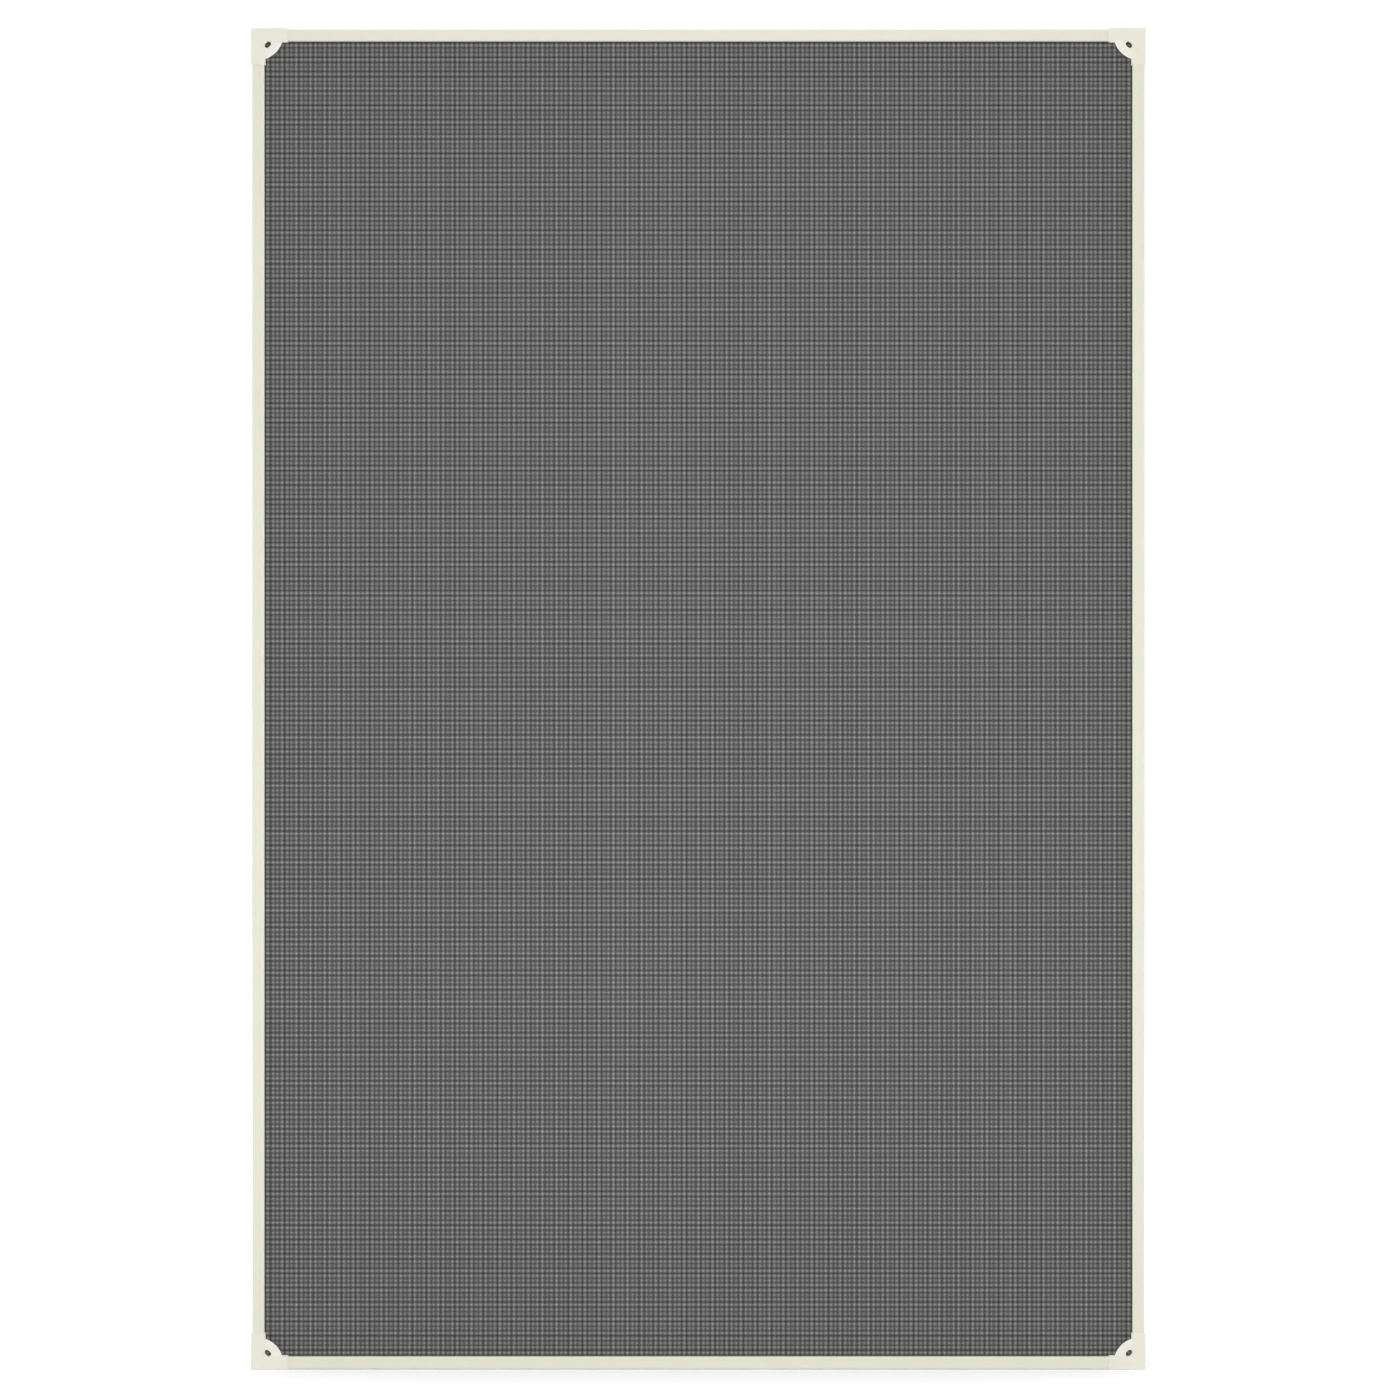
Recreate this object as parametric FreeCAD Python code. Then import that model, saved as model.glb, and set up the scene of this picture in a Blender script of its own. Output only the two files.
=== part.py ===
import FreeCAD, Part
import math
import os

# Window screen in millimetres. Front is -Y, up is +Z, origin under the middle of the bottom edge.
# Four channel rails plug onto moulded corner pieces, and a ribbed cord holds the mesh in a groove.

# Overall size, over the corner pieces
screen_width = 609.6
screen_height = 914.4

# Rail section, folded from thin strip
rail_face = 8.2
rail_depth = 7.9
strip_thickness = 0.5
bend_radius = 0.8
groove_width = 3.6
groove_depth = 4.6
lip_drop = 1.0
groove_mouth_radius = 0.25

# Corner pieces
leg_length = 25.0
corner_proud = 0.7
outer_corner_radius = 0.8
front_edge_radius = 0.4
rail_end_gap = 0.05
web_radius = 17.6
web_centre_inset = 4.2
web_thickness = 2.2
web_recess = 0.25
web_edge_radius = 0.45
slot_inset = 11.3
slot_width = 3.3
slot_length = 4.8
slot_chamfer = 0.35

# Tongues of the corner pieces, inside the rails
tongue_length = 20.0
tongue_clearance = 0.2
tongue_taper = 0.5
taper_length = 2.0
barb_count = 3
barb_pitch = 4.8
barb_height = 0.15
barb_length = 1.8

# Mesh
mesh_thickness = 0.3
seat_clearance = 0.05
mesh_trim = 1.2
thread_pitch_across = 3.23
thread_pitch_up = 3.28
ridge_height = 0.25
valley_height = 0.06
field_clearance = 0.4
gap_columns = 9
gap_rows = 9
gap_size = 1.1

# Ribbed cord in the groove
cord_ribs = 12
cord_rib_height = 0.15
cord_end_gap = 0.3

# Lines worked out from the sizes above. "In" is measured inwards from a rail's outer edge, and
# "deep" backwards from a rail's front.
half_width = screen_width / 2
rail_front_y = -rail_depth / 2
corner_front_y = rail_front_y - corner_proud
corner_depth = rail_depth + 2 * corner_proud
leg_width = rail_face + 2 * corner_proud
groove_in = rail_face - 2 * strip_thickness
groove_out = groove_in - groove_width
groove_floor = rail_depth - groove_depth
lip_level = rail_depth - lip_drop


def vector(x, y, z):
    """A point or direction."""
    return FreeCAD.Vector(x, y, z)


def block(x_span, y_span, z_span):
    """A box between two values on each axis."""
    low = vector(x_span[0], y_span[0], z_span[0])
    return Part.makeBox(
        x_span[1] - x_span[0], y_span[1] - y_span[0], z_span[1] - z_span[0], low
    )


def across_place(run_start):
    """Turns (in, deep) into a point on the section of the bottom side."""
    return lambda point: vector(run_start, rail_front_y + point.y, corner_proud + point.x)


def upright_place(run_start):
    """Turns (in, deep) into a point on the section of the left side."""
    return lambda point: vector(
        -half_width + corner_proud + point.x, rail_front_y + point.y, run_start
    )


def rounded_face(corners, place):
    """A flat face with corners (in, deep, radius), each rounded by an arc no larger than fits."""
    points = [vector(across, deep, 0) for across, deep, _ in corners]
    count = len(points)
    starts, middles, ends = [], [], []
    for index, here in enumerate(points):
        back = points[index - 1] - here
        ahead = points[(index + 1) % count] - here
        shorter = min(back.Length, ahead.Length)
        half_angle = back.getAngle(ahead) / 2
        back.normalize()
        ahead.normalize()
        radius = min(corners[index][2], 0.45 * shorter * math.tan(half_angle))
        setback = radius / math.tan(half_angle)
        bisector = (back + ahead).normalize()
        centre = here + bisector * (radius / math.sin(half_angle))
        starts.append(place(here + back * setback))
        middles.append(place(centre - bisector * radius))
        ends.append(place(here + ahead * setback))
    edges = []
    for index in range(count):
        if (ends[index] - starts[index]).Length > 1e-6:
            edges.append(Part.Arc(starts[index], middles[index], ends[index]).toShape())
        edges.append(Part.makeLine(ends[index], starts[(index + 1) % count]))
    return Part.Face(Part.Wire(edges))


def sharp_face(points):
    """A flat face with straight sides through the points."""
    return Part.Face(Part.makePolygon(points + points[:1]))


def hollow_points(clearance):
    """Corners (in, deep) of the rail's hollow, drawn in by a clearance for what plugs into it."""
    wall = strip_thickness + clearance
    shelf_deep = groove_floor - wall
    return [
        vector(wall, wall, 0),
        vector(rail_face - wall, wall, 0),
        vector(rail_face - wall, shelf_deep, 0),
        vector(groove_out - wall, shelf_deep, 0),
        vector(groove_out - wall, rail_depth - wall, 0),
        vector(wall, rail_depth - wall, 0),
    ]


def hollow_face(clearance, place):
    """Section of the rail's hollow, or of a tongue that fits it with a clearance."""
    return sharp_face([place(point) for point in hollow_points(clearance)])


def rail_section(place):
    """Section of a rail: a closed hollow with an open groove at the back, beside a hemmed lip."""
    outside = rounded_face(
        [
            (0, 0, bend_radius),
            (rail_face, 0, bend_radius),
            (rail_face, lip_level, groove_mouth_radius),
            (groove_in, lip_level, groove_mouth_radius),
            (groove_in, groove_floor, 0),
            (groove_out, groove_floor, 0),
            (groove_out, rail_depth, groove_mouth_radius),
            (0, rail_depth, bend_radius),
        ],
        place,
    )
    return outside.cut(hollow_face(0, place))


def bottom_rail():
    """The bottom rail, between the legs of the two bottom corner pieces."""
    start = -half_width + leg_length + rail_end_gap
    return rail_section(across_place(start)).extrude(vector(-2 * start, 0, 0))


def left_rail():
    """The left rail, between the legs of the two left corner pieces."""
    start = leg_length + rail_end_gap
    return rail_section(upright_place(start)).extrude(
        vector(0, 0, screen_height - 2 * start)
    )


def edges_where(shape, test):
    """The edges of a shape whose every vertex passes a test."""
    return [edge for edge in shape.Edges if all(test(v.Point) for v in edge.Vertexes)]


def corner_legs():
    """The L-shaped body with softened front edges, its outer corner at X = 0 and Z = 0."""
    outline = [
        vector(0, 0, 0),
        vector(leg_length, 0, 0),
        vector(leg_length, 0, leg_width),
        vector(leg_width, 0, leg_width),
        vector(leg_width, 0, leg_length),
        vector(0, 0, leg_length),
    ]
    legs = sharp_face(outline).extrude(vector(0, corner_depth, 0))
    upright_edge = edges_where(legs, lambda p: abs(p.x) < 1e-6 and abs(p.z) < 1e-6)
    legs = legs.makeFillet(outer_corner_radius, upright_edge)
    front_edges = edges_where(legs, lambda p: abs(p.y) < 1e-6)
    return legs.makeFillet(front_edge_radius, front_edges)


def corner_groove():
    """The space above the groove floor and above the lip, cut out of the back of the legs."""
    back = corner_depth + 1
    open_end = leg_length + 1
    floor_y = corner_proud + groove_floor
    lip_y = corner_proud + lip_level
    outer_line = corner_proud + groove_out
    inner_line = corner_proud + groove_in
    pocket = block((outer_line, open_end), (floor_y, back), (outer_line, open_end))
    inner_wall = block((inner_line, open_end), (floor_y, lip_y), (inner_line, open_end))
    return pocket.cut(inner_wall)


def corner_web():
    """The rounded plate across the inner angle, just behind the front faces of the legs."""
    disc = Part.makeCylinder(
        web_radius,
        web_thickness,
        vector(web_centre_inset, web_recess, web_centre_inset),
        vector(0, 1, 0),
    )
    rim = [
        edge
        for edge in disc.Edges
        if isinstance(edge.Curve, Part.Circle)
        and abs(edge.CenterOfMass.y - web_recess) < 1e-6
    ]
    disc = disc.makeFillet(web_edge_radius, rim)
    root = leg_width - corner_proud
    reach = web_centre_inset + web_radius + 1
    quarter = block((root, reach), (0, corner_depth), (root, reach))
    return disc.common(quarter)


def slot_outline(growth, y):
    """Outline of the slot, square to the corner's diagonal, grown all round by a value."""
    radius = slot_width / 2 + growth
    centre = vector(slot_inset, y, slot_inset)
    side = vector(1, 0, 1).normalize() * radius
    along = vector(1, 0, -1).normalize()
    half_run = along * ((slot_length - slot_width) / 2)
    first, second = centre - half_run, centre + half_run
    return Part.Wire(
        [
            Part.makeLine(first + side, second + side),
            Part.Arc(second + side, second + along * radius, second - side).toShape(),
            Part.makeLine(second - side, first - side),
            Part.Arc(first - side, first - along * radius, first + side).toShape(),
        ]
    )


def slot_cutters():
    """The slot right through, its chamfered mouth, and the room in front of the mouth."""
    before, behind = -1, corner_depth + 1
    through = Part.Face(slot_outline(0, before)).extrude(vector(0, behind - before, 0))
    room = Part.Face(slot_outline(slot_chamfer, before)).extrude(
        vector(0, web_recess - before, 0)
    )
    mouth = Part.makeLoft(
        [slot_outline(slot_chamfer, web_recess), slot_outline(0, web_recess + slot_chamfer)],
        True,
        True,
    )
    return [through, room, mouth]


def tongue_place(run):
    """Turns (in, deep) into a point on the section of a corner's lower leg."""
    return lambda point: vector(run, corner_proud + point.y, corner_proud + point.x)


def tongue_across():
    """The tongue that plugs into the bottom rail, with a tapered tip and barbs on its outer side."""
    root = leg_length - corner_proud
    shoulder = leg_length + tongue_length - taper_length
    tip = leg_length + tongue_length
    body = hollow_face(tongue_clearance, tongue_place(root)).extrude(vector(shoulder - root, 0, 0))
    ends = [
        hollow_face(tongue_clearance, tongue_place(shoulder)).OuterWire,
        hollow_face(tongue_clearance + tongue_taper, tongue_place(tip)).OuterWire,
    ]
    nose = Part.makeLoft(ends, True, True)
    outer_side = corner_proud + strip_thickness + tongue_clearance
    barb_front = corner_proud + groove_floor
    barb_back = corner_proud + rail_depth - 2 * strip_thickness - tongue_clearance
    barbs = []
    for number in range(barb_count):
        start = leg_length + barb_pitch * (number + 0.5)
        tooth = sharp_face(
            [
                vector(start, barb_front, outer_side - barb_height),
                vector(start + barb_length, barb_front, outer_side),
                vector(start + barb_length, barb_front, outer_side + barb_height),
                vector(start, barb_front, outer_side + barb_height),
            ]
        )
        barbs.append(tooth.extrude(vector(0, barb_back - barb_front, 0)))
    return body.fuse([nose] + barbs)


def swap_sides(shape):
    """Mirrors a corner shape about its diagonal, so that X and Z change places."""
    return shape.mirror(vector(0, 0, 0), vector(1, 0, -1).normalize())


def bottom_left_corner():
    """One moulded corner piece, in its place."""
    tongue = tongue_across()
    piece = corner_legs().cut(corner_groove())
    piece = piece.fuse([corner_web(), tongue, swap_sides(tongue)])
    piece = piece.cut(slot_cutters()).removeSplitter()
    piece.translate(vector(-half_width, corner_front_y, 0))
    return piece


def inset_block(inset, deep_from, deep_to):
    """A slab whose edges lie a distance in from the outer edges of the rails."""
    edge = corner_proud + inset
    return block(
        (-half_width + edge, half_width - edge),
        (rail_front_y + deep_from, rail_front_y + deep_to),
        (edge, screen_height - edge),
    )


def inset_ring(outer_inset, inner_inset, deep_from, deep_to):
    """A rectangular ring between two distances in from the outer edges of the rails."""
    outside = inset_block(outer_inset, deep_from, deep_to)
    return outside.cut(inset_block(inner_inset, deep_from - 1, deep_to + 1))


def ridge_line(low, high, pitch, base, valley, crest):
    """Zigzag of thread ridges between two limits, as (along, deep) pairs, and its valleys."""
    count = int((high - low) / pitch)
    start = (low + high - count * pitch) / 2
    line = [(start, base), (start, valley)]
    for number in range(count):
        line.append((start + (number + 0.5) * pitch, crest))
        line.append((start + (number + 1) * pitch, valley))
    line.append((start + count * pitch, base))
    valleys = [start + number * pitch for number in range(1, count)]
    return line, valleys


def spread_choice(values, wanted):
    """Picks evenly spread members of a list."""
    wanted = min(wanted, len(values))
    step = len(values) / wanted
    return [values[int((number + 0.5) * step)] for number in range(wanted)]


def screen_mesh():
    """The mesh: upright threads in front, level threads behind, its edge tucked in the groove."""
    inner_side = groove_in - seat_clearance
    outer_side = groove_out + seat_clearance
    bed = groove_floor + seat_clearance
    front = lip_level + seat_clearance
    back = front + mesh_thickness
    panel = inset_block(inner_side - mesh_thickness, front, back)
    tuck = [
        inset_ring(inner_side - mesh_thickness, inner_side, bed, back),
        inset_ring(outer_side, inner_side, bed, bed + mesh_thickness),
        inset_ring(outer_side, outer_side + mesh_thickness, bed, rail_depth - mesh_trim),
    ]
    edge = corner_proud + rail_face + corner_proud + field_clearance
    left, right = -half_width + edge, half_width - edge
    bottom, top = edge, screen_height - edge
    middle = rail_front_y + (front + back) / 2
    front_y, back_y = rail_front_y + front, rail_front_y + back
    upright_line, columns = ridge_line(
        left, right, thread_pitch_across, middle, front_y - valley_height, front_y - ridge_height
    )
    level_line, rows = ridge_line(
        bottom, top, thread_pitch_up, middle, back_y + valley_height, back_y + ridge_height
    )
    low_x, high_x = upright_line[0][0], upright_line[-1][0]
    low_z, high_z = level_line[0][0], level_line[-1][0]
    upright = sharp_face([vector(x, y, low_z) for x, y in upright_line])
    upright = upright.extrude(vector(0, 0, high_z - low_z))
    level = sharp_face([vector(low_x, y, z) for z, y in level_line])
    level = level.extrude(vector(high_x - low_x, 0, 0))
    half_gap = gap_size / 2
    gaps = [
        block((x - half_gap, x + half_gap), (front_y - 1, back_y + 1), (z - half_gap, z + half_gap))
        for x in spread_choice(columns, gap_columns)
        for z in spread_choice(rows, gap_rows)
    ]
    woven = panel.fuse([upright, level] + tuck)
    return woven.cut(gaps).removeSplitter()


def cord_place():
    """Radius of the cord and its centre in the groove, as in and deep."""
    lining = 2 * seat_clearance + mesh_thickness
    radius = groove_width / 2 - lining
    return radius, (groove_in + groove_out) / 2, groove_floor + lining + radius


def cord_section(place):
    """Ribbed round section of the cord."""
    radius, centre_in, centre_deep = cord_place()
    points = []
    for number in range(2 * cord_ribs):
        reach = radius - cord_rib_height * (number % 2)
        turn = math.pi * number / cord_ribs
        points.append(
            place(
                vector(centre_in + reach * math.cos(turn), centre_deep + reach * math.sin(turn), 0)
            )
        )
    return sharp_face(points)


def left_cord():
    """The cord up the left side, which runs the whole height of the groove."""
    start = corner_proud + groove_out + 2 * seat_clearance + mesh_thickness
    return cord_section(upright_place(start)).extrude(
        vector(0, 0, screen_height - 2 * start)
    )


def bottom_cord():
    """The cord along the bottom, between the two upright ones."""
    radius, centre_in, _ = cord_place()
    start = -half_width + corner_proud + centre_in + radius + cord_end_gap
    return cord_section(across_place(start)).extrude(vector(-2 * start, 0, 0))


def flip_across(shape):
    """Mirrors a shape from the left half to the right."""
    return shape.mirror(vector(0, 0, 0), vector(1, 0, 0))


def flip_up(shape):
    """Mirrors a shape from the bottom half to the top."""
    return shape.mirror(vector(0, 0, screen_height / 2), vector(0, 0, 1))


def build_pieces():
    """All the pieces by name."""
    rail, upright = bottom_rail(), left_rail()
    corner = bottom_left_corner()
    cord, upright_cord = bottom_cord(), left_cord()
    return {
        "bottom_rail": rail,
        "top_rail": flip_up(rail),
        "left_rail": upright,
        "right_rail": flip_across(upright),
        "corner_bottom_left": corner,
        "corner_bottom_right": flip_across(corner),
        "corner_top_left": flip_up(corner),
        "corner_top_right": flip_up(flip_across(corner)),
        "screen_mesh": screen_mesh(),
        "spline_bottom": cord,
        "spline_top": flip_up(cord),
        "spline_left": upright_cord,
        "spline_right": flip_across(upright_cord),
    }


os.makedirs("parts", exist_ok=True)
for name, shape in build_pieces().items():
    solids = shape.Solids
    piece = solids[0] if len(solids) == 1 else shape
    print(f"{name}: {len(solids)} solid, {piece.Volume / 1000:.2f} cm3, valid {piece.isValid()}")
    piece.exportStep(f"parts/{name}.step")
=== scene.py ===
import logging
import math
from collections.abc import Iterator
from contextlib import contextmanager
from dataclasses import dataclass
from enum import Enum

import bpy
import numpy as np
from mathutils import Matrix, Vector


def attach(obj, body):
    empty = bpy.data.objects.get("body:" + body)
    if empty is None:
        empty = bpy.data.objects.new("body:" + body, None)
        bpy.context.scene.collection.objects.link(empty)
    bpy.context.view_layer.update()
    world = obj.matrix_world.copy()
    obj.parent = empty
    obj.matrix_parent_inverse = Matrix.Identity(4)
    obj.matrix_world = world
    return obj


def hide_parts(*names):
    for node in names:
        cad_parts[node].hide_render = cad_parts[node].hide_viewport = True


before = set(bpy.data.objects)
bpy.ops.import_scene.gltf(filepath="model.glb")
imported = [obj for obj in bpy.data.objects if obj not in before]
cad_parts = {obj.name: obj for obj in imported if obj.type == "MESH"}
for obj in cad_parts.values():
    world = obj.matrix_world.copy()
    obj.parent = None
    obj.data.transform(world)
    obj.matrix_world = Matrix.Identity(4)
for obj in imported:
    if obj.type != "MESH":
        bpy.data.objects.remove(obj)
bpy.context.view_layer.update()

MM = 0.001
LOG = logging.getLogger("window_screen")

Colour = tuple[float, float, float]
Span = tuple[float, float]
Point = tuple[float, float, float]


class Run(Enum):
    """Which way a rail or a thread runs."""

    UPRIGHT = "upright"
    LEVEL = "level"


# Working with Blender's tools


def pick(*things: bpy.types.Object) -> None:
    """Selects these objects alone, the first one active."""
    bpy.ops.object.select_all(action="DESELECT")
    for thing in things:
        thing.select_set(True)
    bpy.context.view_layer.objects.active = things[0]


@contextmanager
def editing(thing: bpy.types.Object) -> Iterator[None]:
    """Edit mode on one object, with all of it selected at first.

    Args:
        thing: The mesh object to edit.
    """
    pick(thing)
    bpy.ops.object.mode_set(mode="EDIT")
    bpy.ops.mesh.select_all(action="SELECT")
    yield
    bpy.ops.object.mode_set(mode="OBJECT")


def repeat(thing: bpy.types.Object, count: int, step: Vector, merge: bool = False) -> None:
    """Copies a mesh in a row, with the array applied.

    Args:
        thing: The mesh object to repeat.
        count: How many there are in all.
        step: From each copy to the next, in metres.
        merge: Whether the ends of neighbours are welded.
    """
    pick(thing)
    row = thing.modifiers.new("row", "ARRAY")
    row.count = count
    row.use_relative_offset = False
    row.use_constant_offset = True
    row.constant_offset_displace = step
    row.use_merge_vertices = merge
    row.merge_threshold = 0.001 * MM
    bpy.ops.object.modifier_apply(modifier=row.name)


def settle(thing: bpy.types.Object) -> None:
    """Puts an object's place into its mesh, so that it sits at the origin."""
    pick(thing)
    bpy.ops.object.transform_apply(location=True, rotation=True, scale=True)


def read_all(things: bpy.types.bpy_prop_collection, name: str, whole: bool = False) -> np.ndarray:
    """Reads one property of all of a mesh's points, loops or faces.

    Args:
        things: The points, loops or faces.
        name: The property's name.
        whole: Whether it is one whole number, and not a vector.

    Returns:
        A whole number for each, or a row of three numbers for each.
    """
    found = np.empty(len(things), np.int32) if whole else np.empty(3 * len(things), np.float32)
    things.foreach_get(name, found)
    return found if whole else found.reshape(-1, 3)


def coordinates(thing: bpy.types.Object) -> np.ndarray:
    """The mesh's corner points, one row each, in metres."""
    return read_all(thing.data.vertices, "co")


def triangle_count(thing: bpy.types.Object) -> int:
    """How many triangles an object's mesh has."""
    thing.data.calc_loop_triangles()
    return len(thing.data.loop_triangles)


def dress(thing: bpy.types.Object, finish: bpy.types.Material) -> None:
    """Gives the whole of an object one material."""
    thing.data.materials.clear()
    thing.data.materials.append(finish)


# Finishes


class NodeBench:
    """The nodes of a material or of the world, put together one at a time."""

    def __init__(self, owner: bpy.types.Material | bpy.types.World) -> None:
        """Clears the nodes.

        Args:
            owner: The material or world they belong to.
        """
        owner.use_nodes = True
        self.owner = owner
        self.tree = owner.node_tree
        self.tree.nodes.clear()

    def add(
        self,
        kind: str,
        inputs: dict[str | int, object] | None = None,
        **settings: object,
    ) -> bpy.types.Node:
        """Adds a node.

        Args:
            kind: The node's type.
            inputs: Value or output socket for each input, by its name or number.
            **settings: The node's own settings.

        Returns:
            The new node.
        """
        node = self.tree.nodes.new(kind)
        for name, value in settings.items():
            setattr(node, name, value)
        for key, value in (inputs or {}).items():
            if isinstance(value, bpy.types.NodeSocket):
                self.tree.links.new(value, node.inputs[key])
            else:
                node.inputs[key].default_value = value
        return node

    def maths(self, operation: str, *values: object) -> bpy.types.NodeSocket:
        """Adds a Math node.

        Args:
            operation: The sum it does.
            *values: Its inputs in order, each a number or a socket.

        Returns:
            Its output.
        """
        return self.add("ShaderNodeMath", dict(enumerate(values)), operation=operation).outputs[0]

    def axes(self) -> bpy.types.NodeOutputs:
        """The point on the object as separate X, Y and Z, in metres."""
        point = self.add("ShaderNodeTexCoord").outputs["Object"]
        return self.add("ShaderNodeSeparateXYZ", {"Vector": point}).outputs

    def place(self, stretch: Point) -> bpy.types.NodeSocket:
        """The point on the object, with each axis stretched.

        Args:
            stretch: Factor on X, Y and Z.

        Returns:
            The stretched point.
        """
        point = self.add("ShaderNodeTexCoord").outputs["Object"]
        return self.add("ShaderNodeMapping", {"Vector": point, "Scale": stretch}).outputs["Vector"]

    def noise(self, stretch: Point, detail: float) -> bpy.types.NodeSocket:
        """Cloudy noise from 0 to 1.

        Args:
            stretch: How many clouds there are to a metre on X, Y and Z.
            detail: How many finer layers it has.

        Returns:
            The noise's value.
        """
        inputs = {"Vector": self.place(stretch), "Scale": 1.0, "Detail": detail}
        return self.add("ShaderNodeTexNoise", inputs).outputs["Fac"]

    def clouds(self, count: float, detail: float) -> bpy.types.NodeSocket:
        """Noise that is the same every way, with this many clouds to a metre."""
        return self.noise((count, count, count), detail)

    def streaks(self, run: Run, across: float, along: float, detail: float) -> bpy.types.NodeSocket:
        """Noise that is drawn out along a rail or a thread.

        Args:
            run: Which way it is drawn out.
            across: How many streaks there are to a metre across the run.
            along: How many there are to a metre along it.
            detail: How many finer layers it has.

        Returns:
            The noise's value.
        """
        upright = run is Run.UPRIGHT
        return self.noise((across, across, along) if upright else (along, across, across), detail)

    def blend(self, share: object, *colours: Colour) -> bpy.types.NodeSocket:
        """A colour along a row of evenly spaced ones.

        Args:
            share: How far along the row it is, from 0 to 1.
            *colours: The row, from 0 to 1.

        Returns:
            The colour.
        """
        ramp = self.add("ShaderNodeValToRGB", {"Fac": share})
        stops = ramp.color_ramp.elements
        for number in range(1, len(colours) - 1):
            stops.new(number / (len(colours) - 1))
        for stop, colour in zip(stops, colours):
            stop.color = (*colour, 1.0)
        return ramp.outputs["Color"]

    def bump(self, height: object, depth: float, strength: float) -> bpy.types.NodeSocket:
        """Fine relief.

        Args:
            height: Where the surface is high, from 0 to 1.
            depth: The relief's depth in metres.
            strength: How strongly it shows.

        Returns:
            The bent normal.
        """
        inputs = {"Height": height, "Distance": depth, "Strength": strength}
        return self.add("ShaderNodeBump", inputs).outputs["Normal"]

    def finish(self, **inputs: object) -> bpy.types.Material:
        """Ends in a Principled shader.

        Args:
            **inputs: Its inputs, with underscores for the blanks in their names.

        Returns:
            The finished material.
        """
        named = {key.replace("_", " "): value for key, value in inputs.items()}
        shader = self.add("ShaderNodeBsdfPrincipled", named)
        self.add("ShaderNodeOutputMaterial", {"Surface": shader.outputs["BSDF"]})
        return self.owner


def new_bench(name: str) -> NodeBench:
    """A bench for a new material of this name."""
    return NodeBench(bpy.data.materials.new(name))


@dataclass(frozen=True)
class CoatedStrip:
    """Cream satin paint on roll-formed strip, with faint lines along the roll.

    Lines, clouds and the peel of the paint are counted to the metre.
    """

    run: Run
    low: Colour = (0.760, 0.755, 0.642)
    high: Colour = (0.790, 0.787, 0.676)
    roughness: float = 0.28
    lines_across: float = 900
    lines_along: float = 6
    line_share: float = 0.5
    clouds: float = 14
    peel: float = 1400
    relief_depth: float = 0.02 * MM
    relief_strength: float = 0.35

    def material(self) -> bpy.types.Material:
        """The paint as a material."""
        bench = new_bench(f"cream_paint_{self.run.value}")
        lines = bench.streaks(self.run, self.lines_across, self.lines_along, 2)
        clouds = bench.clouds(self.clouds, 3)
        peel = bench.clouds(self.peel, 1)
        cloudy = bench.maths("MULTIPLY", clouds, 1 - self.line_share)
        share = bench.maths("MULTIPLY_ADD", lines, self.line_share, cloudy)
        relief = bench.maths("ADD", bench.maths("MULTIPLY", lines, self.line_share), peel)
        return bench.finish(
            Base_Color=bench.blend(share, self.low, self.high),
            Roughness=self.roughness,
            Normal=bench.bump(relief, self.relief_depth, self.relief_strength),
        )


@dataclass(frozen=True)
class MouldedPlastic:
    """Pale satin plastic with a fine spark-eroded grain.

    The thin web is painted paler for the light that comes through it, and its curved rim is painted
    paler still as a highlight.
    """

    low: Colour = (0.805, 0.790, 0.686)
    high: Colour = (0.835, 0.820, 0.718)
    # web holds painted light shining through the thin web; rim holds a painted highlight on the web's
    # curved rim.
    web: Colour = (0.870, 0.857, 0.780)
    rim: Colour = (0.955, 0.950, 0.915)
    roughness: float = 0.42
    half_width: float = 304.8 * MM
    half_height: float = 457.2 * MM
    web_inset: float = 9.6 * MM
    web_centre: float = 4.2 * MM
    rim_radius: float = 16.7 * MM
    clouds: float = 60
    grain: float = 3200
    grain_depth: float = 0.03 * MM
    grain_strength: float = 0.3

    def material(self) -> bpy.types.Material:
        """The plastic as a material."""
        bench = new_bench("moulded_corner_plastic")
        clouds = bench.clouds(self.clouds, 3)
        grain = bench.clouds(self.grain, 2)
        axes = bench.axes()
        from_side = bench.maths("SUBTRACT", self.half_width, bench.maths("ABSOLUTE", axes["X"]))
        off_middle = bench.maths("ABSOLUTE", bench.maths("SUBTRACT", axes["Z"], self.half_height))
        from_end = bench.maths("SUBTRACT", self.half_height, off_middle)
        inset = bench.maths("MINIMUM", from_side, from_end)
        # On the web the colour steps up to painted light, as if shining through the thin plate.
        on_web = bench.maths("GREATER_THAN", inset, self.web_inset)
        place = bench.add("ShaderNodeCombineXYZ", {"X": from_side, "Y": from_end}).outputs["Vector"]
        ends = {0: place, 1: (self.web_centre, self.web_centre, 0)}
        radius = bench.add("ShaderNodeVectorMath", ends, operation="DISTANCE").outputs["Value"]
        # On the curved rim the colour steps up again to a painted highlight.
        painted_highlight_mask = bench.maths("MULTIPLY", on_web, bench.maths("GREATER_THAN", radius, self.rim_radius))
        colours = (self.low, self.high, self.web, self.rim)
        steps = bench.maths("ADD", clouds, bench.maths("ADD", on_web, painted_highlight_mask))
        share = bench.maths("DIVIDE", steps, len(colours) - 1)
        return bench.finish(
            Base_Color=bench.blend(share, *colours),
            Roughness=self.roughness,
            Normal=bench.bump(grain, self.grain_depth, self.grain_strength),
        )


@dataclass(frozen=True)
class CordVinyl:
    """Dark soft vinyl of the cord, dulled by dust in its ribs."""

    low: Colour = (0.022, 0.022, 0.024)
    high: Colour = (0.055, 0.055, 0.057)
    roughness: float = 0.6
    dust: float = 350
    dust_depth: float = 0.04 * MM
    dust_strength: float = 0.4

    def material(self) -> bpy.types.Material:
        """The vinyl as a material."""
        bench = new_bench("cord_vinyl")
        dust = bench.clouds(self.dust, 4)
        return bench.finish(
            Base_Color=bench.blend(dust, self.low, self.high),
            Roughness=self.roughness,
            Normal=bench.bump(dust, self.dust_depth, self.dust_strength),
        )


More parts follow.
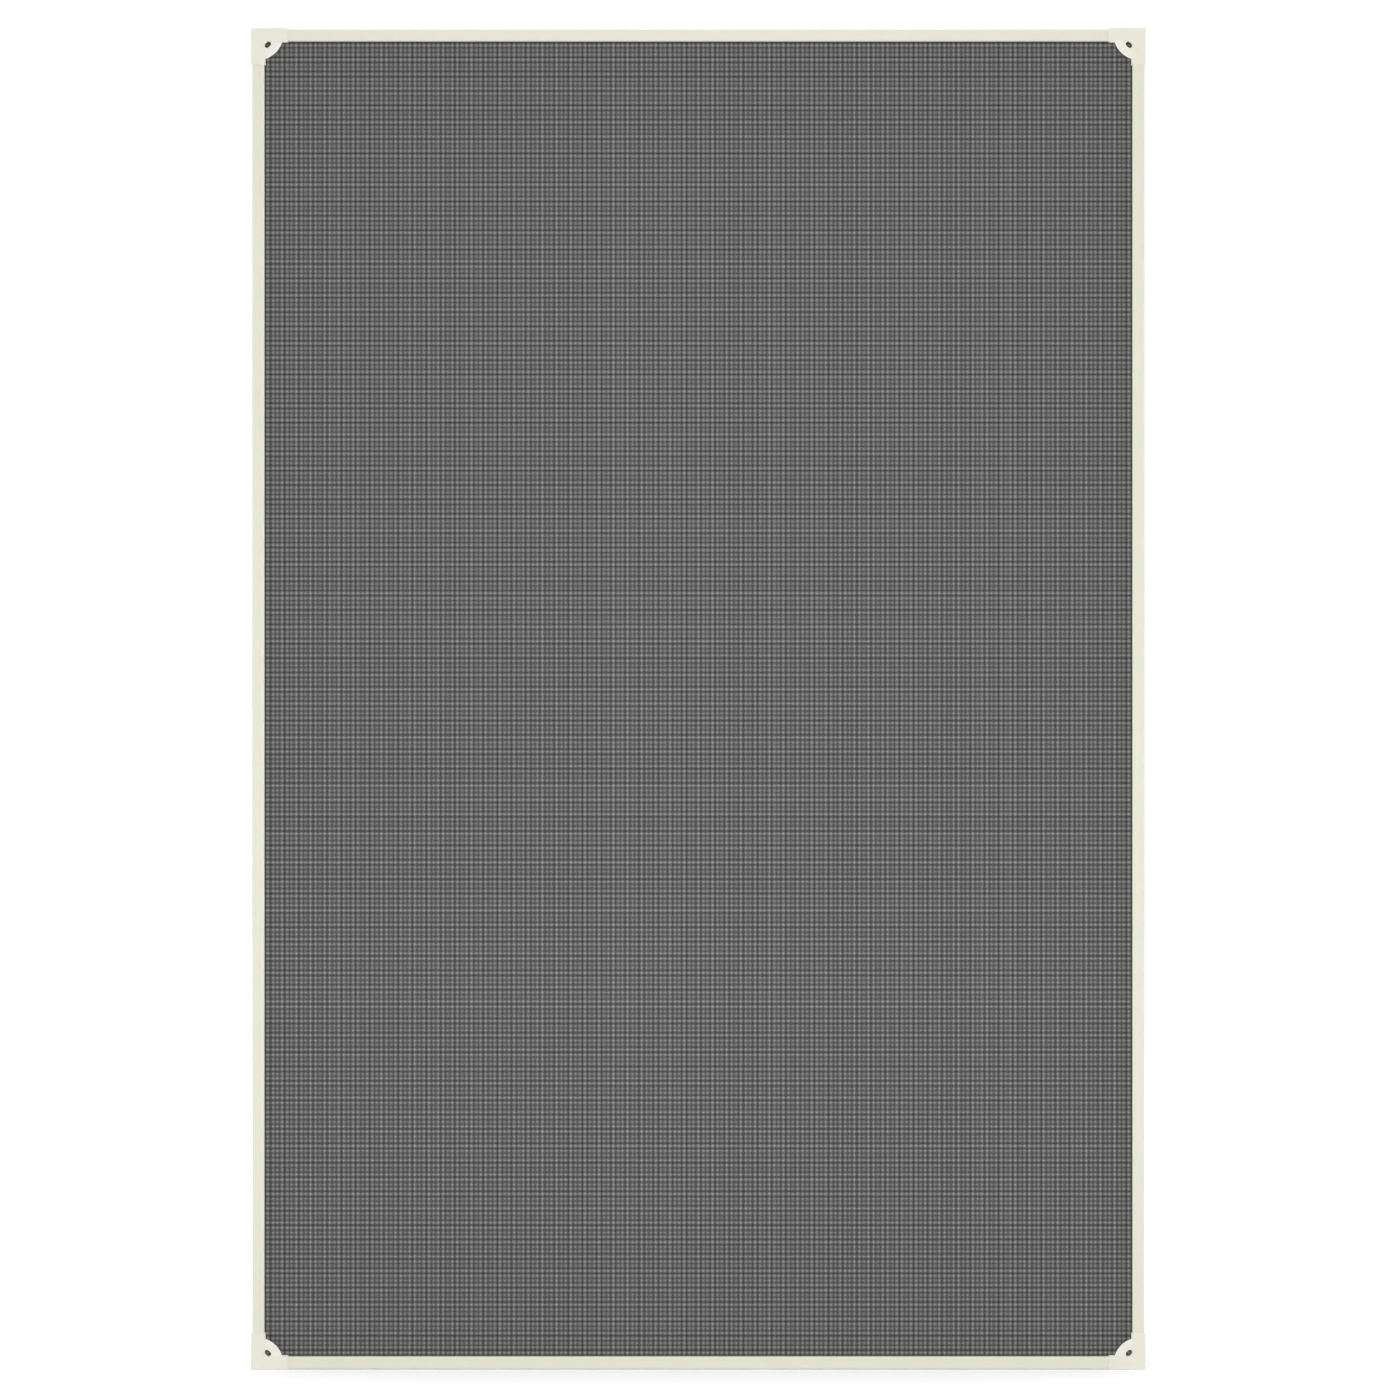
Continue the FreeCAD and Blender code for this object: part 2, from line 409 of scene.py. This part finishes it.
@dataclass(frozen=True)
class PaintedWeaveShade:
    """Painted light and shade of the weave: painted shade on a thread's core, darkest where cores
    cross, and painted light pale where two threads meet.

    About one thread in three is a shade paler, which gives the mesh its faint check.
    """

    first_across: float
    first_up: float
    pitch_across: float
    pitch_up: float
    check_across: float = 1.493
    check_up: float = 1.439
    painted_shade_share: float = 0.98
    check_share: float = 0.085
    own_share: float = 0.04

    def number(self, bench: NodeBench, run: Run) -> bpy.types.NodeSocket:
        """Which thread a point is on, counted in pitches from the first one's centre line.

        Args:
            bench: The nodes to add to.
            run: The way of the threads that are counted.

        Returns:
            The count, whole on a centre line.
        """
        upright = run is Run.UPRIGHT
        place = bench.axes()["X" if upright else "Z"]
        first = self.first_across if upright else self.first_up
        pitch = self.pitch_across if upright else self.pitch_up
        return bench.maths("DIVIDE", bench.maths("SUBTRACT", place, first), pitch)

    def lines(self, bench: NodeBench, run: Run) -> bpy.types.NodeSocket:
        """Painted shade and light from one set of threads.

        Args:
            bench: The nodes to add to.
            run: The way of the threads.

        Returns:
            The shade, about 0 on a thread's core and 0.5 between two threads.
        """
        number = self.number(bench, run)
        check = self.check_across if run is Run.UPRIGHT else self.check_up
        # Painted shade on the thread's core, painted light towards where it meets the next thread.
        shade = bench.maths("MULTIPLY", bench.maths("PINGPONG", number, 0.5), self.painted_shade_share)
        wave = bench.maths("SINE", bench.maths("MULTIPLY", number, 2 * math.pi / check))
        shade = bench.maths("MULTIPLY_ADD", wave, self.check_share, shade)
        seed = {"W": bench.maths("ROUND", number)}
        own = bench.add("ShaderNodeTexWhiteNoise", seed, noise_dimensions="1D").outputs["Value"]
        own_shade = bench.maths("MULTIPLY_ADD", own, self.own_share, -self.own_share / 2)
        return bench.maths("ADD", shade, own_shade)

    def share(self, bench: NodeBench) -> bpy.types.NodeSocket:
        """Painted shade and light from both sets, mostly from 0 to 1 and 0.5 on average."""
        return bench.maths("ADD", self.lines(bench, Run.UPRIGHT), self.lines(bench, Run.LEVEL))


@dataclass(frozen=True)
class CoatedYarn:
    """Charcoal coated yarn, two ends of it side by side in each thread."""

    shade: PaintedWeaveShade
    # dark, middle and pale span the weave's painted shade on the crossings up to painted light between
    # threads.
    dark: Colour = (0.024, 0.024, 0.0237)
    middle: Colour = (0.109, 0.109, 0.1087)
    pale: Colour = (0.268, 0.268, 0.267)
    roughness: float = 0.5
    gloss: float = 0.25
    slit: float = 0.26
    slit_sides: Span = (0.02, 0.08)
    beside_slit: float = 0.02
    half_yarn: float = 0.25
    strands_across: float = 9000
    strands_along: float = 260
    strand_shade: float = 0.12
    strand_height: float = 0.15
    relief_depth: float = 0.2 * MM
    thread_strength: float = 0.7
    pressed_strength: float = 0.5

    def coat(
        self,
        bench: NodeBench,
        share: bpy.types.NodeSocket,
        height: bpy.types.NodeSocket,
        strength: float,
    ) -> bpy.types.Material:
        """Ends a material of the yarn.

        Args:
            bench: The nodes to add to.
            share: How pale it is, from 0 to 1.
            height: Where it is high, from 0 to 1.
            strength: How strongly the relief shows.

        Returns:
            The material.
        """
        return bench.finish(
            Base_Color=bench.blend(share, self.dark, self.middle, self.pale),
            Roughness=self.roughness,
            Specular_IOR_Level=self.gloss,
            Normal=bench.bump(height, self.relief_depth, strength),
        )

    def material(self, run: Run) -> bpy.types.Material:
        """The thread, with a dark slit between its two yarns and a crown on each.

        Args:
            run: Which way its strands run.

        Returns:
            The material.
        """
        bench = new_bench(f"coated_yarn_{run.value}")
        strands = bench.streaks(run, self.strands_across, self.strands_along, 1)
        number = self.shade.number(bench, run)
        slit = {
            "Value": bench.maths("PINGPONG", number, 0.5),
            "From Min": self.slit_sides[0],
            "From Max": self.slit_sides[1],
            "To Min": -self.slit,
            "To Max": self.beside_slit,
        }
        detail = bench.add("ShaderNodeMapRange", slit).outputs["Result"]
        detail = bench.maths("SUBTRACT", detail, self.strand_shade / 2)
        detail = bench.maths("MULTIPLY_ADD", strands, self.strand_shade, detail)
        # The weave's painted shade and light is added to the yarn's own slit and strands here.
        share = bench.maths("ADD", self.shade.share(bench), detail)
        inwards = bench.maths("PINGPONG", number, self.half_yarn)
        crown = bench.maths("SQRT", bench.maths("MULTIPLY", inwards, 1 / self.half_yarn))
        crown = bench.maths("MULTIPLY", crown, 1 - self.strand_height)
        height = bench.maths("MULTIPLY_ADD", strands, self.strand_height, crown)
        return self.coat(bench, share, height, self.thread_strength)

    def pressed(self) -> bpy.types.Material:
        """The mesh's own edge, pressed flat in the groove, with its weave in relief and in painted
        shade and light.
        """
        bench = new_bench("tucked_mesh_edge")
        share = self.shade.share(bench)
        return self.coat(bench, share, share, self.pressed_strength)


# Sub-assemblies


@dataclass
class RailSet:
    """The four roll-formed rails."""

    upright: tuple[str, ...] = ("left_rail", "right_rail")
    level: tuple[str, ...] = ("bottom_rail", "top_rail")

    def dress(self) -> None:
        """Paints each rail, with the roll lines along it."""
        for run, names in ((Run.UPRIGHT, self.upright), (Run.LEVEL, self.level)):
            paint = CoatedStrip(run).material()
            for name in names:
                dress(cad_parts[name], paint)
                LOG.info("%s painted", name)


@dataclass
class CornerSet:
    """The four moulded corner pieces."""

    names: tuple[str, ...] = (
        "corner_bottom_left",
        "corner_bottom_right",
        "corner_top_left",
        "corner_top_right",
    )

    def dress(self) -> None:
        """Gives each corner piece its plastic."""
        plastic = MouldedPlastic().material()
        for name in self.names:
            dress(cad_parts[name], plastic)
            LOG.info("%s finished", name)


@dataclass
class CordSet:
    """The four lengths of ribbed cord in the groove."""

    names: tuple[str, ...] = ("spline_bottom", "spline_top", "spline_left", "spline_right")

    def dress(self) -> None:
        """Gives each cord its vinyl."""
        vinyl = CordVinyl().material()
        for name in self.names:
            dress(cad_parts[name], vinyl)
            LOG.info("%s finished", name)


@dataclass
class ThreadSet:
    """All the threads that run one way, in a few pieces side by side.

    A thread is a flat four-sided yarn that rises over one crossing and dips under the next.
    """

    run: Run
    count: int
    crossings: int
    pitch: float
    crossing_pitch: float
    gap: float
    middle: Vector
    pairs_in_piece: int
    thickness: float = 0.40 * MM
    crimp: float = 0.24 * MM
    smooth_angle: float = math.radians(50)
    map_margin: float = 0.006

    @property
    def width(self) -> float:
        """Width of a thread."""
        return self.pitch - self.gap

    @property
    def reach(self) -> float:
        """Half the length of a thread."""
        return (self.crossings * self.crossing_pitch - self.gap) / 2

    @property
    def first(self) -> float:
        """Distance of the first thread's centre line from the middle."""
        return (self.count - 1) / 2 * self.pitch

    @property
    def half_way(self) -> float:
        """Distance of a thread's middle from its first crossing."""
        return (self.crossings - 1) / 2 * self.crossing_pitch

    def thread(self) -> bpy.types.Object:
        """One thread, upright at X = 0, with its first crossing at Z = 0.

        Returns:
            The thread, open at both ends and longer than it needs to be.
        """
        spare = 2
        bpy.ops.object.select_all(action="DESELECT")
        bpy.ops.mesh.primitive_circle_add(vertices=4, radius=1, fill_type="NOTHING")
        thread = bpy.context.object
        with editing(thread):
            bpy.ops.transform.resize(value=(self.width / 2, self.thickness / 2, 1))
            bpy.ops.transform.translate(value=(0, -self.crimp, -spare * self.crossing_pitch))
            for side in (1, -1):
                step = (0, side * 2 * self.crimp, self.crossing_pitch)
                bpy.ops.mesh.extrude_region_move(TRANSFORM_OT_translate={"value": step})
        waves = math.ceil((self.crossings + 2 * spare) / 2)
        repeat(thread, waves, Vector((0, 0, 2 * self.crossing_pitch)), merge=True)
        return thread

    def pair(self) -> bpy.types.Object:
        """Two neighbouring threads, the second one crossing by crossing opposite to the first.

        Returns:
            The pair, cut to length and closed at its ends.
        """
        first = self.thread()
        pick(first)
        bpy.ops.object.duplicate()
        second = bpy.context.object
        second.location = (self.pitch, 0, -self.crossing_pitch)
        settle(second)
        pick(first, second)
        bpy.ops.object.join()
        with editing(first):
            for side in (1, -1):
                bpy.ops.mesh.select_all(action="SELECT")
                bpy.ops.mesh.bisect(
                    plane_co=(0, 0, self.half_way + side * self.reach),
                    plane_no=(0, 0, side),
                    use_fill=True,
                    clear_outer=True,
                )
            bpy.ops.mesh.select_all(action="SELECT")
            bpy.ops.mesh.normals_make_consistent(inside=False)
        return first

    def pieces(self) -> list[bpy.types.Object]:
        """All the threads in their place.

        Returns:
            The pieces, from the first thread to the last.
        """
        pair = self.pair()
        left = self.count // 2
        made = []
        while left > 0:
            pairs = min(self.pairs_in_piece, left)
            pick(pair)
            bpy.ops.object.duplicate()
            piece = bpy.context.object
            piece.name = f"{self.run.value}_threads_{len(made) + 1}"
            repeat(piece, pairs, Vector((2 * self.pitch, 0, 0)))
            done = self.count // 2 - left
            piece.location = (2 * done * self.pitch - self.first, 0, -self.half_way)
            settle(piece)
            if self.run is Run.LEVEL:
                piece.rotation_euler = (0, math.pi / 2, 0)
                settle(piece)
            piece.location = self.middle
            settle(piece)
            bpy.ops.object.shade_smooth_by_angle(angle=self.smooth_angle)
            made.append(piece)
            left -= pairs
        pick(pair)
        bpy.ops.object.delete()
        return made

    def map_flat(self, piece: bpy.types.Object) -> None:
        """Lays the fronts and backs of the threads out over a square map, with room for each.

        Level threads have their fronts below and their backs above. Upright ones are longer, so
        fronts and backs have a column each and share the middle one for their last third.

        Args:
            piece: One piece of the set.
        """
        mesh = piece.data
        points = coordinates(piece)[:, [0, 2]]
        low, high = points.min(0), points.max(0)
        corners = read_all(mesh.loops, "vertex_index", whole=True)
        sizes = read_all(mesh.polygons, "loop_total", whole=True)
        centres = read_all(mesh.polygons, "center")
        normals = read_all(mesh.polygons, "normal")
        behind = np.repeat(normals[:, 1] > 0, sizes)
        shares = (points[corners] - low) / (high - low)
        if self.run is Run.LEVEL:
            shares[:, 1] = (shares[:, 1] + behind) / 2
        else:
            heights = (centres[:, 2] - low[1]) / (high[1] - low[1])
            late = np.repeat(heights > 2 / 3, sizes)
            column = np.where(late, 1, 2 * behind)
            shares[:, 0] = (shares[:, 0] + column) / 3
            shares[:, 1] = 1.5 * shares[:, 1] - late + 0.5 * (late & behind)
        shares = self.map_margin + (1 - 2 * self.map_margin) * shares
        mesh.uv_layers.new(name="OFBake").uv.foreach_set("vector", shares.ravel())

    def flat_size(self, piece: bpy.types.Object) -> Span:
        """Width and length of the strip of mesh that a piece's threads make up.

        Args:
            piece: One piece of the set.

        Returns:
            The strip's width and length in metres.
        """
        size = coordinates(piece).max(0) - coordinates(piece).min(0)
        return float(size[0]), float(size[2])


@dataclass
class WovenMesh:
    """The insect mesh: two sets of crossing threads, and the edge tucked into the groove.

    The points of the tuck path are outwards from the opening and back from the middle, in mm.
    """

    span_across: float = 593.6 * MM
    span_up: float = 898.4 * MM
    count_across: int = 184
    count_up: int = 274
    upright_pairs: int = 31
    level_pairs: int = 46
    gap: float = 0.16 * MM
    middle_y: float = 3.42 * MM
    middle_z: float = 457.2 * MM
    tuck_path: tuple[Span, ...] = ((-0.35, 3.2), (0.3, 3.2), (0.3, -0.45), (3.5, -0.45), (3.5, 2.7))
    edge_thickness: float = 0.3 * MM
    fold_radius: float = 0.3 * MM
    fold_segments: int = 3
    smooth_angle: float = math.radians(40)

    def pitches(self) -> Span:
        """Distance between threads across and up."""
        across = (self.span_across + self.gap) / self.count_across
        up = (self.span_up + self.gap) / self.count_up
        return across, up

    def yarn(self) -> CoatedYarn:
        """The yarn, shaded by the place of the threads."""
        across, up = self.pitches()
        first_across = -(self.count_across - 1) / 2 * across
        first_up = self.middle_z - (self.count_up - 1) / 2 * up
        return CoatedYarn(PaintedWeaveShade(first_across, first_up, across, up))

    def threads(self) -> list[bpy.types.Object]:
        """Weaves both sets of threads.

        Returns:
            Their pieces.
        """
        across, up = self.pitches()
        middle = Vector((0, self.middle_y, self.middle_z))
        upright = ThreadSet(
            run=Run.UPRIGHT,
            count=self.count_across,
            crossings=self.count_up,
            pitch=across,
            crossing_pitch=up,
            gap=self.gap,
            middle=middle,
            pairs_in_piece=self.upright_pairs,
        )
        level = ThreadSet(
            run=Run.LEVEL,
            count=self.count_up,
            crossings=self.count_across,
            pitch=up,
            crossing_pitch=across,
            gap=self.gap,
            middle=middle,
            pairs_in_piece=self.level_pairs,
        )
        made = []
        for threads in (upright, level):
            yarn = self.yarn().material(threads.run)
            for piece in threads.pieces():
                threads.map_flat(piece)
                dress(piece, yarn)
                threads.flat_size(piece)
                made.append(piece)
        return made

    def half_ring(self, outwards: float) -> Span:
        """Half the width and height of a ring round the opening.

        Args:
            outwards: How far it stands out from the opening, in millimetres.

        Returns:
            The two halves in metres.
        """
        return self.span_across / 2 + outwards * MM, self.span_up / 2 + outwards * MM

    def tucked_edge(self) -> bpy.types.Object:
        """The mesh's edge: over the lip, down the groove, across its floor and up its outer wall.

        Returns:
            The edge as one closed ring.
        """
        bpy.ops.object.select_all(action="DESELECT")
        bpy.ops.mesh.primitive_plane_add(size=2, rotation=(math.pi / 2, 0, 0))
        edge = bpy.context.object
        edge.name = "tucked_mesh_edge"
        settle(edge)
        outwards, back = self.tuck_path[0]
        half = self.half_ring(outwards)
        with editing(edge):
            bpy.ops.mesh.delete(type="ONLY_FACE")
            bpy.ops.mesh.select_all(action="SELECT")
            bpy.ops.transform.resize(value=(half[0], 1, half[1]), center_override=(0, 0, 0))
            bpy.ops.transform.translate(value=(0, back * MM, self.middle_z))
            for next_outwards, next_back in self.tuck_path[1:]:
                next_half = self.half_ring(next_outwards)
                step = (0, (next_back - back) * MM, 0)
                bpy.ops.mesh.extrude_region_move(TRANSFORM_OT_translate={"value": step})
                growth = (next_half[0] / half[0], 1, next_half[1] / half[1])
                bpy.ops.transform.resize(value=growth, center_override=(0, 0, self.middle_z))
                half, back = next_half, next_back
        self.round_folds(edge)
        wall = edge.modifiers.new("wall", "SOLIDIFY")
        wall.thickness = self.edge_thickness
        wall.offset = 0
        pick(edge)
        bpy.ops.object.modifier_apply(modifier=wall.name)
        bpy.ops.object.shade_smooth_by_angle(angle=self.smooth_angle)
        return edge

    def round_folds(self, edge: bpy.types.Object) -> None:
        """Rounds the three folds of the tucked edge, which are its inner rings of four corners.

        Args:
            edge: The ring before it gets its thickness.
        """
        pick(edge)
        for line in edge.data.edges:
            rings = {index // 4 for index in line.vertices}
            line.select = len(rings) == 1 and 0 < min(rings) < len(self.tuck_path) - 1
        bpy.ops.object.mode_set(mode="EDIT")
        bpy.ops.mesh.select_mode(type="EDGE")
        bpy.ops.mesh.bevel(offset=self.fold_radius, segments=self.fold_segments)
        bpy.ops.mesh.select_all(action="SELECT")
        bpy.ops.mesh.normals_make_consistent(inside=False)
        bpy.ops.object.mode_set(mode="OBJECT")

    def build(self) -> None:
        """Builds the mesh in place of its plain stand-in."""
        pieces = self.threads()
        edge = self.tucked_edge()
        dress(edge, self.yarn().pressed())
        steps = zip(self.tuck_path, self.tuck_path[1:])
        width = sum(math.dist(here, there) for here, there in steps) * MM
        for piece in [*pieces, edge]:
            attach(piece, "root")
            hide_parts("screen_mesh")
            LOG.info("%s woven, %d triangles", piece.name, triangle_count(piece))


# Studio


@dataclass(frozen=True)
class Lamp:
    """A square soft lamp that the camera doesn't see, in metres and watts."""

    name: str
    place: Point
    size: float
    power: float
    glossy: bool = True

    def hang(self, aim: Point) -> None:
        """Hangs the lamp so that it faces a point.

        Args:
            aim: The point.
        """
        light = bpy.data.lights.new(self.name, "AREA")
        light.size = self.size
        light.energy = self.power
        lamp = bpy.data.objects.new(self.name, light)
        bpy.context.scene.collection.objects.link(lamp)
        place = Vector(self.place)
        lamp.location = place
        lamp.rotation_euler = (Vector(aim) - place).to_track_quat("-Z", "Y").to_euler()
        lamp.visible_camera = False
        lamp.visible_glossy = self.glossy


@dataclass
class Studio:
    """Pale floor, white surround, soft lamps and the camera.

    The lamps stand in front, and at both sides and above along the screen's plane.
    """

    ambient: float = 0.48
    floor_size: float = 24.0
    floor_drop: float = 0.05 * MM
    floor_shade: float = 0.86
    near_glow: float = 0.27
    far_glow: float = 0.64
    glow_grows: Span = (0.5, 4.0)
    aim: Point = (0, 0, 457.2 * MM)
    camera_distance: float = 6.0
    frame_width: float = 954.8 * MM
    camera_x: float = 1.09 * MM
    camera_z: float = 456.45 * MM
    camera_sight: float = 60
    sensor: float = 36.0
    lamps: tuple[Lamp, ...] = (
        Lamp("front", (0.05, -2.4, 0.36), 0.6, 6.5, glossy=False),
        Lamp("low_front", (0.01, -1.0, 0.15), 0.25, 2.2, glossy=False),
        Lamp("high_front", (0.02, -0.8, 1.15), 0.25, 0.95, glossy=False),
        Lamp("left_side", (-6.0, -0.4, 1.2), 2.2, 75),
        Lamp("right_side", (6.0, -0.4, 1.2), 2.2, 75),
        Lamp("above", (0, -0.3, 6.0), 2.2, 115),
        Lamp("behind", (0, 3.2, 1.6), 2.0, 40),
    )

    def straight_rays(self, bench: NodeBench) -> bpy.types.NodeSocket:
        """One for rays that see the surround itself, by camera, gloss or glass.

        Args:
            bench: The nodes to add to.

        Returns:
            One or zero.
        """
        rays = bench.add("ShaderNodeLightPath").outputs
        seen = bench.maths("MAXIMUM", rays["Is Camera Ray"], rays["Is Glossy Ray"])
        return bench.maths("MAXIMUM", seen, rays["Is Transmission Ray"])

    def floor(self) -> None:
        """A plain floor that shows white and keeps the object's shadow.

        Its glow for straight rays grows with the distance from the object, where less light falls.
        """
        bpy.ops.object.select_all(action="DESELECT")
        bpy.ops.mesh.primitive_plane_add(size=self.floor_size, location=(0, 0, -self.floor_drop))
        floor = bpy.context.object
        floor.name = "studio_floor"
        bench = new_bench("studio_floor")
        colour = (self.floor_shade, self.floor_shade, self.floor_shade, 1.0)
        pale = bench.add("ShaderNodeBsdfDiffuse", {"Color": colour}).outputs[0]
        point = {0: bench.place((1, 1, 1))}
        growth = {
            "Value": bench.add("ShaderNodeVectorMath", point, operation="LENGTH").outputs["Value"],
            "From Min": self.glow_grows[0],
            "From Max": self.glow_grows[1],
            "To Min": self.near_glow,
            "To Max": self.far_glow,
        }
        strength = bench.add("ShaderNodeMapRange", growth).outputs["Result"]
        glow = bench.add("ShaderNodeEmission", {"Strength": strength}).outputs[0]
        lit = bench.add("ShaderNodeAddShader", {0: pale, 1: glow}).outputs[0]
        shown = bench.add("ShaderNodeMixShader", {0: self.straight_rays(bench), 1: pale, 2: lit})
        bench.add("ShaderNodeOutputMaterial", {"Surface": shown.outputs[0]})
        dress(floor, bench.owner)

    def surround(self) -> None:
        """Even light from all round, which shows white."""
        world = bpy.context.scene.world or bpy.data.worlds.new("studio")
        bpy.context.scene.world = world
        bench = NodeBench(world)
        white = (1.0, 1.0, 1.0, 1.0)
        light = bench.add("ShaderNodeBackground", {"Color": white, "Strength": self.ambient}).outputs[0]
        shown = bench.add("ShaderNodeBackground", {"Color": white, "Strength": 1.0}).outputs[0]
        mix = bench.add("ShaderNodeMixShader", {0: self.straight_rays(bench), 1: light, 2: shown})
        bench.add("ShaderNodeOutputWorld", {"Surface": mix.outputs[0]})

    def camera(self) -> None:
        """A long lens straight in front."""
        data = bpy.data.cameras.new("front_camera")
        data.sensor_width = self.sensor
        data.lens = self.sensor * self.camera_distance / self.frame_width
        data.clip_end = self.camera_sight
        camera = bpy.data.objects.new("front_camera", data)
        bpy.context.scene.collection.objects.link(camera)
        camera.location = (self.camera_x, -self.camera_distance, self.camera_z)
        camera.rotation_euler = (math.pi / 2, 0, 0)
        bpy.context.scene.camera = camera

    def build(self) -> None:
        """Sets up the whole studio."""
        self.floor()
        self.surround()
        for lamp in self.lamps:
            lamp.hang(self.aim)
        self.camera()
        bpy.context.scene.view_settings.view_transform = "Standard"


def main() -> None:
    """Builds and dresses the screen, then the studio round it."""
    logging.basicConfig(level=logging.INFO, format="%(name)s: %(message)s")
    RailSet().dress()
    CornerSet().dress()
    CordSet().dress()
    WovenMesh().build()
    Studio().build()


if __name__ == "__main__":
    main()
